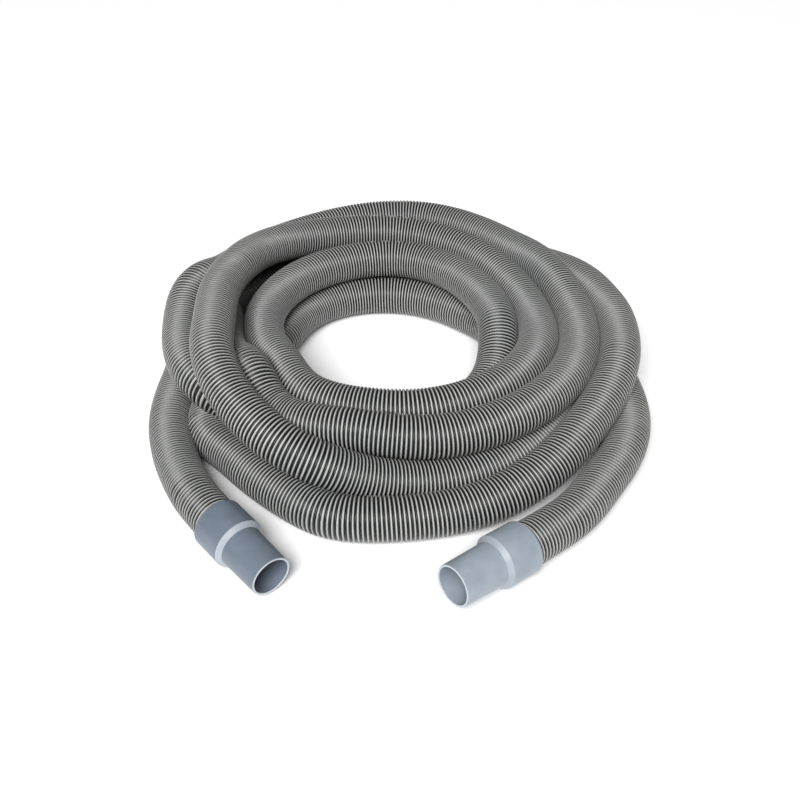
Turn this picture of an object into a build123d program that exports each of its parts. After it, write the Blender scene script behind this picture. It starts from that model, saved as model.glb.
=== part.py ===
"""A nine metre pool vacuum hose, lying in a loose coil, with a fixed cuff on one end and a swivel cuff on
the other. Millimetres, +Z up, the origin on the floor under the middle of the whole object."""

from build123d import *
import math
import os

# The hose: a corrugated tube, taken over the tops of its corrugations.
HOSE_RADIUS = 24.0
HOSE_BORE = 19.0

# The coil. Its turns lie round this centre, two layers high, with one strand crossing on top.
COIL_CENTRE_Y = 46.0
FLOOR_RING = {"outer": (230.0, 313.5), "inner": (123.0, 127.0), "centre": (0.0, -11.0, -6.0)}
UPPER_RING = {"outer": (284.0, 281.0), "inner": (119.0, 142.0), "centre": (16.0, -24.0, -6.0)}
UPPER_BOTTOM = 48.4
UPPER_TOP = 96.0
FLOOR_TOP = 56.0
RING_ROUNDING = 18.0
EXIT_RADIUS = 250.0
EXIT_TURNS = {"fixed": -50.0, "swivel": 75.0}

# The cuffs: a collar over the hose, a sloping shoulder and a spigot, the same outside on both ends.
CUFF_LENGTH = 92.0
COLLAR_LENGTH = 38.0
COLLAR_RADIUS = 27.4
COLLAR_ROUNDING = 2.6
SHOULDER_LENGTH = 4.6
SPIGOT_ROOT_RADIUS = 22.9
SPIGOT_TIP_RADIUS = 21.6
SPIGOT_BORE = 19.1
LIP_ROUNDING = 0.9
STOP_DEPTH = 36.0

# Where each cuff lies: its rear centre, its heading in plan and its dip, which is negative if the mouth rises.
FIXED_REAR = (-182.5, -254.5, 29.7)
FIXED_HEADING = -48.5
FIXED_DIP = 3.5
SWIVEL_REAR = (120.5, -286.5, 27.6)
SWIVEL_HEADING = -141.5
SWIVEL_DIP = -3.5

# Inside the swivel cuff, by depth from its rear rim.
RING_DEPTHS = (1.0, 11.95)
INSERT_DEPTHS = (0.5, 34.4)
INSERT_STEP = 12.0
INSERT_STOP = 1.4
SEAL_THICKNESS = 1.5
SHELL_BORE = 26.05
INSERT_BODY_RADIUS = 25.98
INSERT_NECK_RADIUS = 25.0
RING_BORE = 25.06
RING_GAP = 3.0
SEAL_BORE = 20.5
SEAL_RADIUS = 25.9

# The loose ends of the hose, from the coil to the point behind each cuff where it runs straight in.
STRAIGHT_BEHIND_CUFF = {"fixed": 28.0, "swivel": 22.0}
FIXED_ROUTE = [
    (-259.0, 16.0, 24.0),
    (-263.0, -36.0, 24.0),
    (-261.0, -88.0, 24.0),
    (-247.0, -140.0, 24.2),
    (-226.0, -189.0, 27.0),
]
SWIVEL_ROUTE = [
    (255.0, 21.0, 24.0),
    (263.0, -34.0, 24.0),
    (261.0, -89.0, 24.0),
    (243.0, -142.0, 24.0),
    (211.0, -191.0, 24.0),
    (181.0, -236.0, 25.0),
]
# The strand that crosses on top of the coil at the left, from the back to the front.
TOP_STRAND = [
    (-60.0, 236.0, 74.0),
    (-134.0, 206.0, 96.0),
    (-188.0, 150.0, 108.0),
    (-214.0, 80.0, 112.0),
    (-216.0, 4.0, 110.0),
    (-190.0, -66.0, 100.0),
    (-146.0, -124.0, 86.0),
    (-88.0, -172.0, 72.0),
]

# The most of the shorter run beside a route's corner that the corner's arc takes up.
ARC_SHARE = 0.45
# How far a cutting shape stands clear of what it cuts.
CUT_CLEARANCE = 1.0


def heading_vector(heading, dip):
    """The unit vector of a cuff's axis, from its rear towards its mouth."""
    turn = math.radians(heading)
    tilt = math.radians(dip)
    level = math.cos(tilt)
    return Vector(level * math.cos(turn), level * math.sin(turn), -math.sin(tilt))


def cuff_plane(rear, heading, dip):
    """A plane at a cuff's rear rim whose Z runs down the cuff's axis."""
    across = Vector(-math.sin(math.radians(heading)), math.cos(math.radians(heading)), 0)
    return Plane(origin=rear, x_dir=across, z_dir=heading_vector(heading, dip))


def turned(points):
    """A solid of revolution about Z through (radius, depth) points."""
    outline = Polyline(*[(radius, depth) for radius, depth in points], close=True)
    profile = Plane.XZ * make_face(outline)
    return revolve(profile, Axis.Z, 360)


def cuff_outside():
    """The outer shape of a cuff as a solid of revolution, with its edges rounded and no bore."""
    blank = turned(
        [
            (0, 0),
            (COLLAR_RADIUS, 0),
            (COLLAR_RADIUS, COLLAR_LENGTH),
            (SPIGOT_ROOT_RADIUS, COLLAR_LENGTH + SHOULDER_LENGTH),
            (SPIGOT_TIP_RADIUS, CUFF_LENGTH),
            (0, CUFF_LENGTH),
        ]
    )
    rims = blank.edges().filter_by(GeomType.CIRCLE).sort_by(Axis.Z)
    blank = fillet(rims[0], COLLAR_ROUNDING)
    rims = blank.edges().filter_by(GeomType.CIRCLE).sort_by(Axis.Z)
    return fillet(rims[-1], LIP_ROUNDING)


def bored(blank, radius, start, end):
    """The blank with a round bore about Z from one depth to another."""
    return blank - Pos(0, 0, start) * Cylinder(
        radius, end - start, align=(Align.CENTER, Align.CENTER, Align.MIN)
    )


def softened_mouth(cuff):
    """A cuff with the inner edge of its mouth rounded."""
    circles = cuff.edges().filter_by(GeomType.CIRCLE)
    inner = circles.filter_by(lambda edge: abs(edge.radius - SPIGOT_BORE) < 0.01)
    return fillet(inner.sort_by(Axis.Z)[-1], LIP_ROUNDING)


def fixed_cuff():
    """One moulding, screwed and glued on the hose, which stops against the step in its bore."""
    cuff = bored(cuff_outside(), HOSE_RADIUS, -CUT_CLEARANCE, STOP_DEPTH)
    return softened_mouth(bored(cuff, SPIGOT_BORE, -CUT_CLEARANCE, CUFF_LENGTH + CUT_CLEARANCE))


def swivel_shell():
    """The outer cuff that turns on the insert."""
    shell = bored(cuff_outside(), SHELL_BORE, -CUT_CLEARANCE, STOP_DEPTH)
    return softened_mouth(bored(shell, SPIGOT_BORE, -CUT_CLEARANCE, CUFF_LENGTH + CUT_CLEARANCE))


def swivel_insert():
    """The sleeve fixed on the hose: a neck for the retaining ring, then a body that the shell turns on."""
    rear, front = INSERT_DEPTHS
    return turned(
        [
            (HOSE_RADIUS, rear),
            (INSERT_NECK_RADIUS, rear),
            (INSERT_NECK_RADIUS, INSERT_STEP),
            (INSERT_BODY_RADIUS, INSERT_STEP),
            (INSERT_BODY_RADIUS, front),
            (SEAL_BORE, front),
            (SEAL_BORE, front - INSERT_STOP),
            (HOSE_RADIUS, front - INSERT_STOP),
        ]
    )


def retaining_ring():
    """The split ring pressed in the shell behind the insert's step."""
    rear, front = RING_DEPTHS
    ring = turned([(RING_BORE, rear), (SHELL_BORE, rear), (SHELL_BORE, front), (RING_BORE, front)])
    height = front - rear + 2 * CUT_CLEARANCE
    gap = Pos(SHELL_BORE, 0, (rear + front) / 2) * Box(SHELL_BORE, RING_GAP, height)
    return ring - gap


def seal_washer():
    """The flat washer between the insert's front face and the step in the shell."""
    return turned(
        [
            (SEAL_BORE, STOP_DEPTH - SEAL_THICKNESS),
            (SEAL_RADIUS, STOP_DEPTH - SEAL_THICKNESS),
            (SEAL_RADIUS, STOP_DEPTH),
            (SEAL_BORE, STOP_DEPTH),
        ]
    )


def arc_radii(points):
    """The radius of the arc at each corner of a route: as large as its two runs allow."""
    radii = []
    for before, corner, after in zip(points, points[1:], points[2:]):
        into = Vector(*corner) - Vector(*before)
        out = Vector(*after) - Vector(*corner)
        half_turn = math.radians(into.get_angle(out)) / 2
        radii.append(ARC_SHARE * min(into.length, out.length) / math.tan(half_turn))
    return radii


def tube(points, name, radius=HOSE_RADIUS, bore=0.0):
    """A tube along straight runs and tangent arcs. Prints its radii, and its volume over its path's."""
    radii = arc_radii(points)
    path = FilletPolyline(*points, radius=radii)
    start = Plane(origin=path @ 0, z_dir=path % 0)
    section = start * Circle(radius)
    area = math.pi * radius**2
    if bore:
        section -= start * Circle(bore)
        area -= math.pi * bore**2
    solid = sweep(section, path=path)
    share = solid.volume / (area * path.length)
    print(name, "radii", [round(r) for r in radii])
    print(name, "length", round(path.length), "volume ratio", round(share, 4))
    return solid


def loose_end(kind, route, rear, heading, dip, depth):
    """The hose from the coil to its end inside a cuff."""
    axis = heading_vector(heading, dip)
    behind = Vector(*rear) - axis * STRAIGHT_BEHIND_CUFF[kind]
    end = Vector(*rear) + axis * depth
    points = [*route, tuple(behind), tuple(end)]
    return tube(points, f"hose_end_{kind}", bore=HOSE_BORE)


def ring(shape, bottom, top):
    """One layer of the coil: an oval ring with its long edges rounded."""
    outer_y, inner_x, inner_y = shape["centre"]
    height = top - bottom
    body = extrude(Pos(0, COIL_CENTRE_Y + outer_y, bottom) * Ellipse(*shape["outer"]), height)
    body = fillet(body.edges(), RING_ROUNDING)
    middle = Pos(inner_x, COIL_CENTRE_Y + inner_y, bottom - CUT_CLEARANCE)
    return body - extrude(middle * Ellipse(*shape["inner"]), height + 2 * CUT_CLEARANCE)


def coil_exit(kind, route):
    """The floor strand leading out of the coil: an arc that ends square to the loose end's route."""
    first = Vector(*route[0])
    along = (Vector(*route[1]) - first).normalized()
    arc = JernArc(start=first, tangent=-along, radius=EXIT_RADIUS, arc_size=EXIT_TURNS[kind])
    section = Plane(origin=first, z_dir=-along) * Circle(HOSE_RADIUS)
    return sweep(section, path=arc)


def hose_coil():
    """The outer shape of the coiled turns as one closed solid."""
    coil = ring(FLOOR_RING, 0, FLOOR_TOP) + ring(UPPER_RING, UPPER_BOTTOM, UPPER_TOP)
    coil += coil_exit("fixed", FIXED_ROUTE)
    coil += coil_exit("swivel", SWIVEL_ROUTE)
    return coil + tube(TOP_STRAND, "top strand")


def placed(solid, rear, heading, dip):
    return cuff_plane(rear, heading, dip).location * solid


def nodes():
    """Every sub-part by its name."""
    fixed = (FIXED_REAR, FIXED_HEADING, FIXED_DIP)
    swivel = (SWIVEL_REAR, SWIVEL_HEADING, SWIVEL_DIP)
    insert_hose_depth = INSERT_DEPTHS[1] - INSERT_STOP
    return {
        "hose_coil": hose_coil(),
        "hose_end_fixed": loose_end("fixed", FIXED_ROUTE, *fixed, STOP_DEPTH),
        "hose_end_swivel": loose_end("swivel", SWIVEL_ROUTE, *swivel, insert_hose_depth),
        "fixed_cuff": placed(fixed_cuff(), *fixed),
        "swivel_cuff": placed(swivel_shell(), *swivel),
        "swivel_insert": placed(swivel_insert(), *swivel),
        "swivel_retaining_ring": placed(retaining_ring(), *swivel),
        "swivel_seal": placed(seal_washer(), *swivel),
    }


os.makedirs("parts", exist_ok=True)
for name, solid in nodes().items():
    export_step(solid, f"parts/{name}.step")
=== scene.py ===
"""The looks of a coiled pool vacuum hose: the corrugated tube on its whole route, and its cuffs' finish.

Metres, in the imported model's own frame: +Z up, the origin on the floor under the middle of the object.
"""

import math

import bpy
import numpy as np
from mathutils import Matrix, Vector


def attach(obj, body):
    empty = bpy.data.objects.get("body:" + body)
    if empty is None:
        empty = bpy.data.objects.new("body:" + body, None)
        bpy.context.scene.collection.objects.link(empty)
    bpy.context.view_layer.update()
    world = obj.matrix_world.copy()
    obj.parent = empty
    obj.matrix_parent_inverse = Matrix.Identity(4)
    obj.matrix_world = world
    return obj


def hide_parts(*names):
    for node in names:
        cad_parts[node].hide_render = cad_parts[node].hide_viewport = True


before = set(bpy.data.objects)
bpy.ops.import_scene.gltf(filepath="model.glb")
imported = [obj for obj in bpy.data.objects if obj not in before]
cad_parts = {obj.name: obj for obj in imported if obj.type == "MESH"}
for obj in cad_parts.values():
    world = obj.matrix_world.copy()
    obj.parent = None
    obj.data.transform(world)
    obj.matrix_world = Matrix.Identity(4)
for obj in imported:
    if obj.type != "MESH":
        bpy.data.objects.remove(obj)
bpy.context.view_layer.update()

# ---------------------------------------------------------------- the hose

DIAMETER = 0.048
RADIUS = DIAMETER / 2
BORE_RADIUS = 0.019
PITCH = 0.0044

COIL_CENTRE = np.array([0.0, 0.046, 0.0])

# Where each cuff lies: its rear centre, its heading in plan and its dip, and how deep the hose goes in.
FIXED_REAR = (-0.1825, -0.2545, 0.0297)
FIXED_HEADING = math.radians(-48.5)
FIXED_DIP = math.radians(3.5)
FIXED_DEPTH = 0.036
SWIVEL_REAR = (0.1205, -0.2865, 0.0276)
SWIVEL_HEADING = math.radians(-141.5)
SWIVEL_DIP = math.radians(-3.5)
SWIVEL_DEPTH = 0.033
STRAIGHT_BEHIND_FIXED = 0.028
STRAIGHT_BEHIND_SWIVEL = 0.022

# The loose ends, from the coil to the cuffs.
FIXED_ROUTE = [
    (-0.259, 0.016, 0.024),
    (-0.263, -0.036, 0.024),
    (-0.261, -0.088, 0.024),
    (-0.247, -0.140, 0.0242),
    (-0.226, -0.189, 0.027),
]
SWIVEL_ROUTE = [
    (0.255, 0.021, 0.024),
    (0.263, -0.034, 0.024),
    (0.261, -0.089, 0.024),
    (0.243, -0.142, 0.024),
    (0.211, -0.191, 0.024),
    (0.181, -0.236, 0.025),
]

# The coiled turns, from the swivel end to the fixed end: the angle round the coil in degrees, counted on
# over all the turns, the distance from its centre and the height above the floor, both in millimetres.
STATIONS = [
    # from the swivel end: in on the floor behind, then up on the left
    (12, 262, 24),
    (30, 248, 24),
    (45, 228, 24),
    (65, 228, 24),
    (90, 238, 24),
    (120, 248, 24),
    (145, 244, 24),
    (160, 230, 28),
    (176, 213, 50),
    (190, 211, 63),
    # second turn: in front, outermost at the back, then down to the floor at the left front
    (210, 214, 66),
    (232, 226, 64),
    (245, 227, 67),
    (270, 218, 66),
    (315, 218, 65),
    (360, 213, 70),
    (405, 227, 74),
    (450, 273, 76),
    (475, 268, 70),
    (495, 260, 62),
    (510, 248, 56),
    (525, 234, 54),
    (540, 247, 64),
    (560, 250, 70),
    (572, 236, 60),
    (584, 207, 31),
    (597, 195, 24),
    (630, 193, 24),
    (660, 185, 24),
    (690, 168, 24),
    # third turn: innermost on the floor
    (720, 138, 24),
    (765, 137, 24),
    (810, 144, 24),
    (855, 164, 24),
    (885, 182, 24),
    (905, 182, 24),
    (945, 152, 24),
    (990, 145, 24),
    (1020, 142, 30),
    (1050, 136, 48),
    # fourth turn: on top of the third
    (1080, 126, 70),
    (1110, 126, 70),
    (1125, 131, 69),
    (1170, 160, 71),
    (1215, 166, 70),
    (1260, 167, 71),
    (1290, 172, 70),
    (1310, 174, 66),
    (1350, 171, 68),
    (1395, 170, 67),
    # fifth turn: climbs to the top on the left, then dives to the floor in front
    (1440, 166, 69),
    (1485, 179, 76),
    (1530, 206, 85),
    (1560, 213, 93),
    (1580, 214, 104),
    (1620, 212, 114),
    (1640, 218, 108),
    (1655, 232, 100),
    (1670, 248, 86),
    (1690, 256, 64),
    (1700, 248, 46),
    (1712, 240, 32),
    (1728, 236, 24),
    (1750, 229, 24),
    (1775, 218, 24),
    # sixth turn: innermost at the back, outermost in front
    (1800, 205, 24),
    (1830, 184, 24),
    (1850, 180, 24),
    (1890, 191, 24),
    (1935, 209, 24),
    (1960, 212, 24),
    (1980, 220, 24),
    (2002, 232, 24),
    (2020, 246, 24),
    (2038, 268, 24),
    (2055, 282, 24),
    (2070, 284, 24),
    (2085, 280, 25),
    (2100, 271, 33),
    (2115, 262, 44),
    (2130, 260, 55),
    # last turn: over the swivel end, down to the floor behind and out to the left
    (2160, 252, 68),
    (2190, 236, 42),
    (2205, 244, 32),
    (2220, 262, 26),
    (2240, 284, 24),
    (2260, 294, 24),
    (2295, 296, 24),
    (2320, 278, 24),
    (2335, 265, 24),
]
# Degrees from one of the turns' control points to the next, and the curve's steps between two of them.
STATION_STEP = 4.0
CURVE_STEPS = 6

# How the turns are let down on each other: how many rounds, and how far a point drops in the first one, is
# held back towards its place along each axis, and is smoothed towards its neighbours.
SETTLE_ROUNDS = 260
SETTLE_DROP = 0.0002
SETTLE_HOLD = 0.03 * np.array([1, 1, 0.5])
SETTLE_SMOOTH = 0.25
# The drop fades out over this share of the rounds.
DROP_SHARE = 0.85
# Pairs of points are looked for again after this many rounds, out to this many diameters. Points
# fewer than NEIGHBOURS steps apart along the hose aren't a pair.
ROUNDS_PER_SEARCH = 20
SEARCH_DIAMETERS = 1.8
NEIGHBOURS = 9
PUSHES_PER_ROUND = 2
# Nothing is divided by a distance shorter than this.
TINY = 1e-6

# The corrugation: depth below the crown at even steps along one pitch, starting in the groove.
GROOVE_DEPTHS = np.array([0.0023, 0.0012, 0.0002, 0.0, 0.0002, 0.0012])
SIDES = 24
# The cord's path has a point at every second corrugation.
PATH_STEP = 2 * SIDES


def cuff_axis(heading, dip):
    """The unit vector from a cuff's rear towards its mouth."""
    level = math.cos(dip)
    return np.array([level * math.cos(heading), level * math.sin(heading), -math.sin(dip)])


FIXED_AXIS = cuff_axis(FIXED_HEADING, FIXED_DIP)
SWIVEL_AXIS = cuff_axis(SWIVEL_HEADING, SWIVEL_DIP)


def loose_end(route, rear, axis, straight, depth):
    """The control points of one loose end, from the coil into its cuff."""
    rear = np.array(rear)
    return np.array([*route, rear - straight * axis, rear + depth * axis])


def eased(angles, values, at):
    """Values between stations, on a smooth curve. Its slope is halved at a highest or lowest station, so that
    it swings less far past it."""
    slopes = np.gradient(values, angles)
    steps = np.diff(values) / np.diff(angles)
    turns = np.zeros(len(values), bool)
    turns[1:-1] = steps[:-1] * steps[1:] <= 0
    slopes[turns] *= 0.5
    i = np.clip(np.searchsorted(angles, at, side="right") - 1, 0, len(angles) - 2)
    span = angles[i + 1] - angles[i]
    s = (at - angles[i]) / span
    start = (2 * s**3 - 3 * s**2 + 1) * values[i] + (s**3 - 2 * s**2 + s) * span * slopes[i]
    return start + (3 * s**2 - 2 * s**3) * values[i + 1] + (s**3 - s**2) * span * slopes[i + 1]


def coil_turns():
    """The coiled turns' control points, one every few degrees round the coil."""
    angles, radii, heights = np.array(STATIONS, float).T
    count = round((angles[-1] - angles[0]) / STATION_STEP)
    at = np.linspace(angles[0], angles[-1], count + 1)
    turn = np.radians(at)
    radius = eased(angles, radii, at) / 1000
    flat = np.stack([radius * np.cos(turn), radius * np.sin(turn), eased(angles, heights, at) / 1000], 1)
    return COIL_CENTRE + flat


def pushed_apart(points, first, second):
    """The points with each pair that is closer than a diameter pushed apart, by the mean of its pushes."""
    apart = points[first] - points[second]
    distance = np.linalg.norm(apart, axis=1)
    close = distance < DIAMETER
    push = apart[close] * (0.5 * (DIAMETER / np.maximum(distance[close], TINY) - 1))[:, None]
    total = np.zeros_like(points)
    hits = np.zeros(len(points))
    np.add.at(total, first[close], push)
    np.add.at(total, second[close], -push)
    np.add.at(hits, first[close], 1)
    np.add.at(hits, second[close], 1)
    return points + total / np.maximum(hits, 1)[:, None]


def settled(points, loose):
    """The points with the turns let down on each other and on the floor, a diameter apart. Those that are
    not loose stay."""
    wanted = points.copy()
    points = points.copy()
    for round_ in range(SETTLE_ROUNDS):
        if round_ % ROUNDS_PER_SEARCH == 0:
            first, second = np.triu_indices(len(points), NEIGHBOURS)
            distance = np.linalg.norm(points[first] - points[second], axis=1)
            near = distance < SEARCH_DIAMETERS * DIAMETER
            first, second = first[near], second[near]
        weight = max(0.0, 1 - round_ / (DROP_SHARE * SETTLE_ROUNDS))
        points[:, 2] -= SETTLE_DROP * weight
        points += SETTLE_HOLD * (wanted - points)
        for _ in range(PUSHES_PER_ROUND):
            points = pushed_apart(points, first, second)
        moved = points - wanted
        moved[1:-1] += SETTLE_SMOOTH * ((moved[:-2] + moved[2:]) / 2 - moved[1:-1])
        points = wanted + moved
        points[:, 2] = np.maximum(points[:, 2], RADIUS)
        points[~loose] = wanted[~loose]
    return points


def hose_route():
    """All the control points, from the hose's end in the swivel cuff to its end in the fixed cuff."""
    swivel = loose_end(SWIVEL_ROUTE, SWIVEL_REAR, SWIVEL_AXIS, STRAIGHT_BEHIND_SWIVEL, SWIVEL_DEPTH)
    fixed = loose_end(FIXED_ROUTE, FIXED_REAR, FIXED_AXIS, STRAIGHT_BEHIND_FIXED, FIXED_DEPTH)
    turns = coil_turns()
    loose = np.zeros(len(swivel) + len(turns) + len(fixed), bool)
    loose[len(swivel) : len(swivel) + len(turns)] = True
    return settled(np.concatenate([swivel[::-1], turns, fixed]), loose)


def smooth_line(points):
    """The points of a NURBS curve with these control points, as Blender gives them."""
    curve = bpy.data.curves.new("route", "CURVE")
    curve.dimensions = "3D"
    curve.resolution_u = CURVE_STEPS
    spline = curve.splines.new("NURBS")
    spline.points.add(len(points) - 1)
    for target, point in zip(spline.points, points):
        target.co = (*point, 1)
    spline.order_u = 3
    spline.use_endpoint_u = True
    holder = bpy.data.objects.new("route", curve)
    bpy.context.scene.collection.objects.link(holder)
    mesh = bpy.data.meshes.new_from_object(holder)
    line = np.array([v.co[:] for v in mesh.vertices])
    bpy.data.objects.remove(holder)
    bpy.data.curves.remove(curve)
    bpy.data.meshes.remove(mesh)
    return line


def evenly(line, step):
    """Points at about even steps along a line."""
    along = np.concatenate([[0], np.cumsum(np.linalg.norm(np.diff(line, axis=0), axis=1))])
    count = round(along[-1] / step)
    at = np.linspace(0, along[-1], count + 1)
    return np.stack([np.interp(at, along, line[:, k]) for k in range(3)], 1)


def unit(vectors):
    """The vectors, each with length 1."""
    return vectors / np.linalg.norm(vectors, axis=-1, keepdims=True)


def carried_normals(tangents):
    """A normal at each tangent, carried along the line without twist."""
    normals = np.empty_like(tangents)
    normal = np.cross(tangents[0], [0, 0, 1])
    for i, tangent in enumerate(tangents):
        normal = normal - normal.dot(tangent) * tangent
        normal /= np.linalg.norm(normal)
        normals[i] = normal
    return normals


def hose_quads(last):
    """The hose's faces of four corners, for points that are numbered as in hose_mesh."""
    rows = len(GROOVE_DEPTHS)
    top = rows - 1
    inside = (last + 1) * rows
    quads = []

    def outer(row, m):
        return m * rows + row

    m = np.arange(last)
    for p in range(top):
        quads.append(np.stack([outer(p, m), outer(p, m + 1), outer(p + 1, m + 1), outer(p + 1, m)], 1))
    m = np.arange(last - SIDES)
    next_turn = [outer(0, m + SIDES + 1), outer(0, m + SIDES)]
    quads.append(np.stack([outer(top, m), outer(top, m + 1), *next_turn], 1))
    quads.append(inside + np.stack([m, m + SIDES, m + SIDES + 1, m + 1], 1))
    m = np.arange(SIDES)
    quads.append(np.stack([outer(0, m), inside + m, inside + m + 1, outer(0, m + 1)], 1))
    m = np.arange(last - SIDES, last)
    quads.append(np.stack([outer(top, m), outer(top, m + 1), inside + m + 1, inside + m], 1))
    return np.concatenate(quads)


def end_steps(last):
    """The two faces that close the wall's step at each end, where the helix begins and stops."""
    rows = len(GROOVE_DEPTHS)
    inside = (last + 1) * rows
    first_step = [*range(rows), SIDES * rows, inside + SIDES, inside]
    last_step = [last * rows + p for p in reversed(range(rows))]
    last_step += [(last - SIDES) * rows + rows - 1, inside + last - SIDES, inside + last]
    return [first_step, last_step]


def mesh_of(name, points, quads, others):
    """A smooth mesh of these points, with its faces of four corners and then the others."""
    mesh = bpy.data.meshes.new(name)
    corners = np.concatenate([quads.ravel(), *others])
    sizes = [4] * len(quads) + [len(face) for face in others]
    starts = np.concatenate([[0], np.cumsum(sizes)[:-1]])
    mesh.vertices.add(len(points))
    mesh.vertices.foreach_set("co", points.ravel())
    mesh.loops.add(len(corners))
    mesh.loops.foreach_set("vertex_index", corners.astype(np.int32))
    mesh.polygons.add(len(sizes))
    mesh.polygons.foreach_set("loop_start", starts.astype(np.int32))
    mesh.update(calc_edges=True)
    mesh.polygons.foreach_set("use_smooth", np.ones(len(sizes), bool))
    return mesh


def hose_mesh(line):
    """One closed mesh, and the line that it follows: a wall wound as a helix of corrugations outside, and a
    smooth bore. Its points are the helix's, row by row at each step, and then the bore's."""
    centres = evenly(line, PITCH / SIDES)
    tangents = unit(np.gradient(centres, axis=0))
    normals = carried_normals(tangents)
    sideways = np.cross(tangents, normals)
    rows = len(GROOVE_DEPTHS)
    shift = SIDES // rows
    last = len(centres) - 1 - shift * (rows - 1)
    turn = np.arange(last + 1)
    angle = 2 * math.pi * turn / SIDES

    def ring_points(at, radius):
        out = np.cos(angle)[:, None] * normals[at] + np.sin(angle)[:, None] * sideways[at]
        return centres[at] + radius * out

    outer = np.stack([ring_points(turn + shift * p, RADIUS - GROOVE_DEPTHS[p]) for p in range(rows)], 1)
    inner = ring_points(turn + shift, BORE_RADIUS)
    points = np.concatenate([outer.reshape(-1, 3), inner])
    mesh = mesh_of("hose", points, hose_quads(last), end_steps(last))
    # The depth below the crown, 0 to 1, and 1 in the bore: the hose's painted highlight and painted shade
    # follow it.
    depth = np.concatenate([np.tile(GROOVE_DEPTHS / GROOVE_DEPTHS.max(), last + 1), np.ones(last + 1)])
    mesh.attributes.new("groove_shade", "FLOAT", "POINT").data.foreach_set("value", depth.astype(np.float32))
    return mesh, centres[::PATH_STEP]


# ---------------------------------------------------------------- materials


# What the cuffs' colour is multiplied by on their bodies, on their shoulders and on their mouths' rims.
# The lighter shoulders and rims are a painted highlight on the faces turned forward, and the swivel cuff's
# lighter body is painted light on a copy of the same plastic.
FIXED_BODY_TINT = (0.86, 0.88, 0.91)
FIXED_SHOULDER_HIGHLIGHT_TINT = (1.9, 1.82, 1.68)
# Painted light: the swivel cuff is made lighter than the fixed one, though both are of the same plastic.
SWIVEL_BODY_PAINTED_LIGHT_TINT = (1.75, 1.7, 1.62)
SWIVEL_SHOULDER_HIGHLIGHT_TINT = (1.4, 1.37, 1.32)
RIM_HIGHLIGHT_TINT = (3.0, 2.7, 2.4)


def new_material(name):
    """A new material, its nodes, its links and its shader."""
    material = bpy.data.materials.new(name)
    material.use_nodes = True
    nodes = material.node_tree.nodes
    return material, nodes, material.node_tree.links, nodes["Principled BSDF"]


def noise(nodes, links, scale, detail=4.0):
    """A noise pattern in the object's own metres."""
    place = nodes.new("ShaderNodeTexCoord")
    pattern = nodes.new("ShaderNodeTexNoise")
    pattern.inputs["Scale"].default_value = scale
    pattern.inputs["Detail"].default_value = detail
    links.new(place.outputs["Object"], pattern.inputs["Vector"])
    return pattern.outputs["Fac"]


def ramp(nodes, links, source, stops):
    """A colour ramp of (place, colour) stops."""
    node = nodes.new("ShaderNodeValToRGB")
    elements = node.color_ramp.elements
    while len(elements) < len(stops):
        elements.new(0.5)
    for element, (place, colour) in zip(elements, stops):
        element.position = place
        element.color = (*colour, 1)
    links.new(source, node.inputs["Fac"])
    return node.outputs["Color"]


def between(nodes, links, source, low, high):
    """The source, from 0 to 1, mapped on low to high."""
    node = nodes.new("ShaderNodeMapRange")
    node.inputs["To Min"].default_value = low
    node.inputs["To Max"].default_value = high
    links.new(source, node.inputs["Value"])
    return node.outputs["Result"]


def multiplied(nodes, links, first, second):
    """One colour times another. A mix node's colours are its inputs 6 and 7 and its output 2."""
    node = nodes.new("ShaderNodeMix")
    node.data_type = "RGBA"
    node.blend_type = "MULTIPLY"
    node.inputs["Factor"].default_value = 1.0
    links.new(first, node.inputs[6])
    links.new(second, node.inputs[7])
    return node.outputs[2]


def bumped(nodes, links, height, strength, distance, shader):
    """The shader's normal, roughened by a height pattern."""
    node = nodes.new("ShaderNodeBump")
    node.inputs["Strength"].default_value = strength
    node.inputs["Distance"].default_value = distance
    links.new(height, node.inputs["Height"])
    links.new(node.outputs["Normal"], shader.inputs["Normal"])


def hose_material():
    """Ribbed grey plastic, slightly uneven along its length. Light on the crown tops, darker down their sides
    and near black in the grooves and the bore: the crown tops are grey plastic with a painted highlight, and
    the darker colours are painted shade.
    """
    material, nodes, links, shader = new_material("hose_plastic")
    depth = nodes.new("ShaderNodeAttribute")
    depth.attribute_name = "groove_shade"
    # Painted light: the crown tops carry a painted highlight, and the darker stops with depth are painted
    # shade down the ribs' sides, in the grooves and in the bore.
    crown_grey_and_highlight = (0.50, 0.505, 0.49)
    shoulder_painted_light = (0.19, 0.192, 0.186)
    flank_shade = (0.022, 0.023, 0.025)
    groove_shade = (0.003, 0.003, 0.004)
    stops = [(0.0, crown_grey_and_highlight), (0.09, shoulder_painted_light), (0.40, flank_shade), (0.60, groove_shade)]
    colour = ramp(nodes, links, depth.outputs["Fac"], stops)
    patch_stops = [(0.3, (0.86, 0.87, 0.88)), (0.7, (1.0, 1.0, 0.98))]
    patches = ramp(nodes, links, noise(nodes, links, 9.0), patch_stops)
    colour = multiplied(nodes, links, colour, patches)
    scuff_stops = [(0.35, (0.88, 0.88, 0.88)), (0.65, (1.0, 1.0, 1.0))]
    scuffs = ramp(nodes, links, noise(nodes, links, 160.0, 6.0), scuff_stops)
    colour = multiplied(nodes, links, colour, scuffs)
    links.new(colour, shader.inputs["Base Color"])
    links.new(between(nodes, links, noise(nodes, links, 60.0), 0.34, 0.50), shader.inputs["Roughness"])
    shader.inputs["Specular IOR Level"].default_value = 0.45
    bumped(nodes, links, noise(nodes, links, 900.0), 0.15, 0.0003, shader)
    return material


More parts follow.
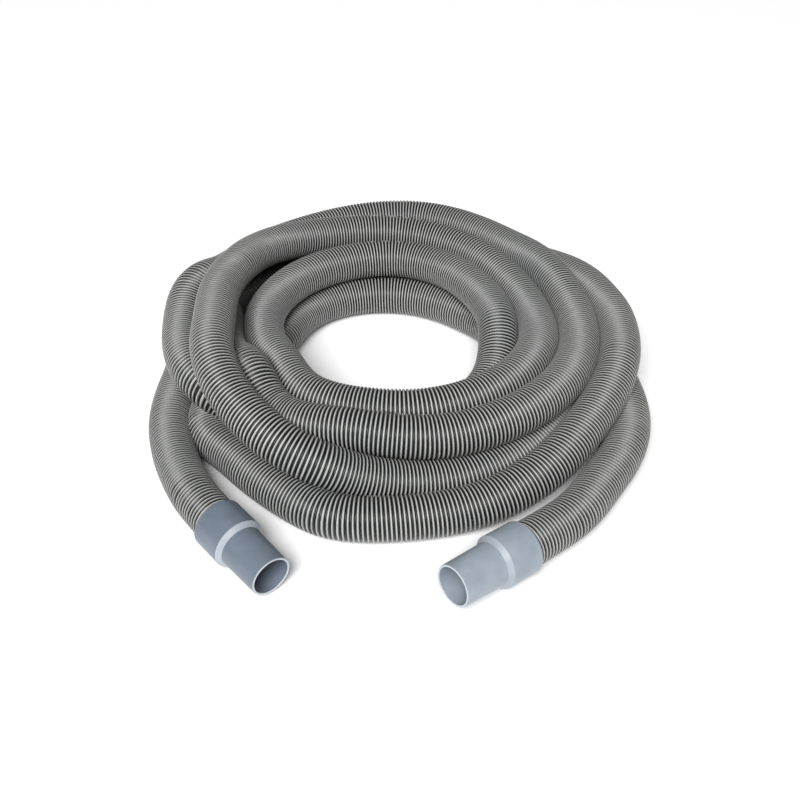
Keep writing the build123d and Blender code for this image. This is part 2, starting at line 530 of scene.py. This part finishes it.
def cuff_material(axis, body, shoulder_painted_light):
    """Blue-grey moulded plastic with a fine grain. Its shoulder and its mouth's rim are made lighter by how
    far they face along the cuff's axis: a painted highlight on the faces turned forward."""
    material, nodes, links, shader = new_material("cuff_plastic")
    stops = [(0.3, (0.125, 0.150, 0.185)), (0.55, (0.145, 0.172, 0.210)), (0.75, (0.165, 0.190, 0.230))]
    colour = ramp(nodes, links, noise(nodes, links, 45.0, 5.0), stops)
    surface = nodes.new("ShaderNodeNewGeometry")
    facing = nodes.new("ShaderNodeVectorMath")
    facing.operation = "DOT_PRODUCT"
    facing.inputs[1].default_value = axis
    links.new(surface.outputs["Normal"], facing.inputs[0])
    # Painted highlight: the shoulder and the rim, which face along the axis, are made lighter.
    facing_highlight_tint = ramp(nodes, links, facing.outputs["Value"], [(0.25, body), (0.6, shoulder_painted_light), (0.9, RIM_HIGHLIGHT_TINT)])
    colour = multiplied(nodes, links, colour, facing_highlight_tint)
    links.new(colour, shader.inputs["Base Color"])
    links.new(between(nodes, links, noise(nodes, links, 90.0), 0.28, 0.42), shader.inputs["Roughness"])
    bumped(nodes, links, noise(nodes, links, 1400.0), 0.2, 0.0002, shader)
    return material


def insert_material():
    """Dark, slightly glossy moulded plastic."""
    material, nodes, links, shader = new_material("insert_plastic")
    stops = [(0.3, (0.03, 0.03, 0.033)), (0.7, (0.045, 0.045, 0.05))]
    colour = ramp(nodes, links, noise(nodes, links, 80.0), stops)
    links.new(colour, shader.inputs["Base Color"])
    links.new(between(nodes, links, noise(nodes, links, 120.0), 0.3, 0.45), shader.inputs["Roughness"])
    return material


def seal_material():
    """Matte black rubber."""
    material, nodes, links, shader = new_material("seal_rubber")
    stops = [(0.3, (0.012, 0.012, 0.012)), (0.7, (0.02, 0.02, 0.02))]
    colour = ramp(nodes, links, noise(nodes, links, 300.0), stops)
    links.new(colour, shader.inputs["Base Color"])
    links.new(between(nodes, links, noise(nodes, links, 400.0), 0.7, 0.85), shader.inputs["Roughness"])
    bumped(nodes, links, noise(nodes, links, 2000.0), 0.3, 0.0001, shader)
    return material


def floor_material():
    """Plain, pale and matte."""
    material, nodes, links, shader = new_material("floor")
    shader.inputs["Base Color"].default_value = (0.96, 0.96, 0.96, 1)
    shader.inputs["Roughness"].default_value = 0.9
    return material


# ---------------------------------------------------------------- camera, light and floor

CAMERA_HEIGHT = 0.7357
CAMERA_AWAY = 1.0357
CAMERA_PITCH = math.radians(37)
LENS = 45.7
SENSOR = 36.0

WORLD_STRENGTH = 0.22
KEY_FROM = (-0.25, -1.15, 1.15)
KEY_STRENGTH = 3.6
KEY_ANGLE = math.radians(30)
FRONT_PLACE = (-0.2, -1.2, 1.3)
FRONT_TARGET = (0, 0, 0.05)
FRONT_SIZE = (1.6, 0.25)
FRONT_POWER = 10
FLOOR_HALF = 6.0
# The floor lies this far below the object, so that the two don't share a plane.
FLOOR_DEPTH = 0.0005


def add_camera():
    """The front view, looking down on the coil."""
    data = bpy.data.cameras.new("camera")
    data.lens = LENS
    data.sensor_width = SENSOR
    camera = bpy.data.objects.new("camera", data)
    camera.location = (0, COIL_CENTRE[1] - CAMERA_AWAY, CAMERA_HEIGHT)
    camera.rotation_euler = (math.pi / 2 - CAMERA_PITCH, 0, 0)
    bpy.context.scene.collection.objects.link(camera)
    bpy.context.scene.camera = camera


def add_area_light(name, place, target, size, power):
    """A rectangular light at a place, turned to a target."""
    data = bpy.data.lights.new(name, "AREA")
    data.shape = "RECTANGLE"
    data.size, data.size_y = size
    data.energy = power
    light = bpy.data.objects.new(name, data)
    light.location = place
    light.rotation_euler = (Vector(target) - Vector(place)).to_track_quat("-Z", "Y").to_euler()
    bpy.context.scene.collection.objects.link(light)


def add_sun(name, place, strength, angle):
    """A sun in the direction of a place."""
    data = bpy.data.lights.new(name, "SUN")
    data.energy = strength
    data.angle = angle
    light = bpy.data.objects.new(name, data)
    light.rotation_euler = Vector(place).to_track_quat("Z", "Y").to_euler()
    bpy.context.scene.collection.objects.link(light)


def add_studio():
    """A white surround, a broad sun and a long soft light in front."""
    world = bpy.data.worlds.new("studio")
    world.use_nodes = True
    background = world.node_tree.nodes["Background"]
    background.inputs["Color"].default_value = (1, 1, 1, 1)
    background.inputs["Strength"].default_value = WORLD_STRENGTH
    bpy.context.scene.world = world
    bpy.context.scene.view_settings.view_transform = "Standard"
    add_sun("key", KEY_FROM, KEY_STRENGTH, KEY_ANGLE)
    add_area_light("front", FRONT_PLACE, FRONT_TARGET, FRONT_SIZE, FRONT_POWER)


def add_floor():
    """A wide white ground under the object."""
    mesh = bpy.data.meshes.new("floor")
    corners = [(x * FLOOR_HALF, y * FLOOR_HALF, 0) for x, y in [(-1, -1), (1, -1), (1, 1), (-1, 1)]]
    mesh.from_pydata(corners, [], [(0, 1, 2, 3)])
    mesh.materials.append(floor_material())
    floor = bpy.data.objects.new("floor", mesh)
    floor.location.z = -FLOOR_DEPTH
    bpy.context.scene.collection.objects.link(floor)


# ---------------------------------------------------------------- the object


def add_hose():
    """The whole hose, as one piece that stands for the three CAD solids of it."""
    mesh, path = hose_mesh(smooth_line(hose_route()))
    mesh.materials.append(hose_material())
    hose = bpy.data.objects.new("hose", mesh)
    bpy.context.scene.collection.objects.link(hose)
    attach(hose, "hose")
    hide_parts("hose_coil", "hose_end_fixed", "hose_end_swivel")


def finish_cuffs():
    """The finish of the cuffs and of the pieces inside the swivel, which stay the CAD's own."""
    finishes = {
        "fixed_cuff": cuff_material(FIXED_AXIS, FIXED_BODY_TINT, FIXED_SHOULDER_HIGHLIGHT_TINT),
        "swivel_cuff": cuff_material(SWIVEL_AXIS, SWIVEL_BODY_PAINTED_LIGHT_TINT, SWIVEL_SHOULDER_HIGHLIGHT_TINT),
        "swivel_insert": insert_material(),
        "swivel_seal": seal_material(),
    }
    finishes["swivel_retaining_ring"] = finishes["swivel_insert"]
    for name, material in finishes.items():
        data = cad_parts[name].data
        for i in range(len(data.materials)):
            data.materials[i] = material
        if not data.materials:
            data.materials.append(material)


add_camera()
add_hose()
finish_cuffs()
add_studio()
add_floor()
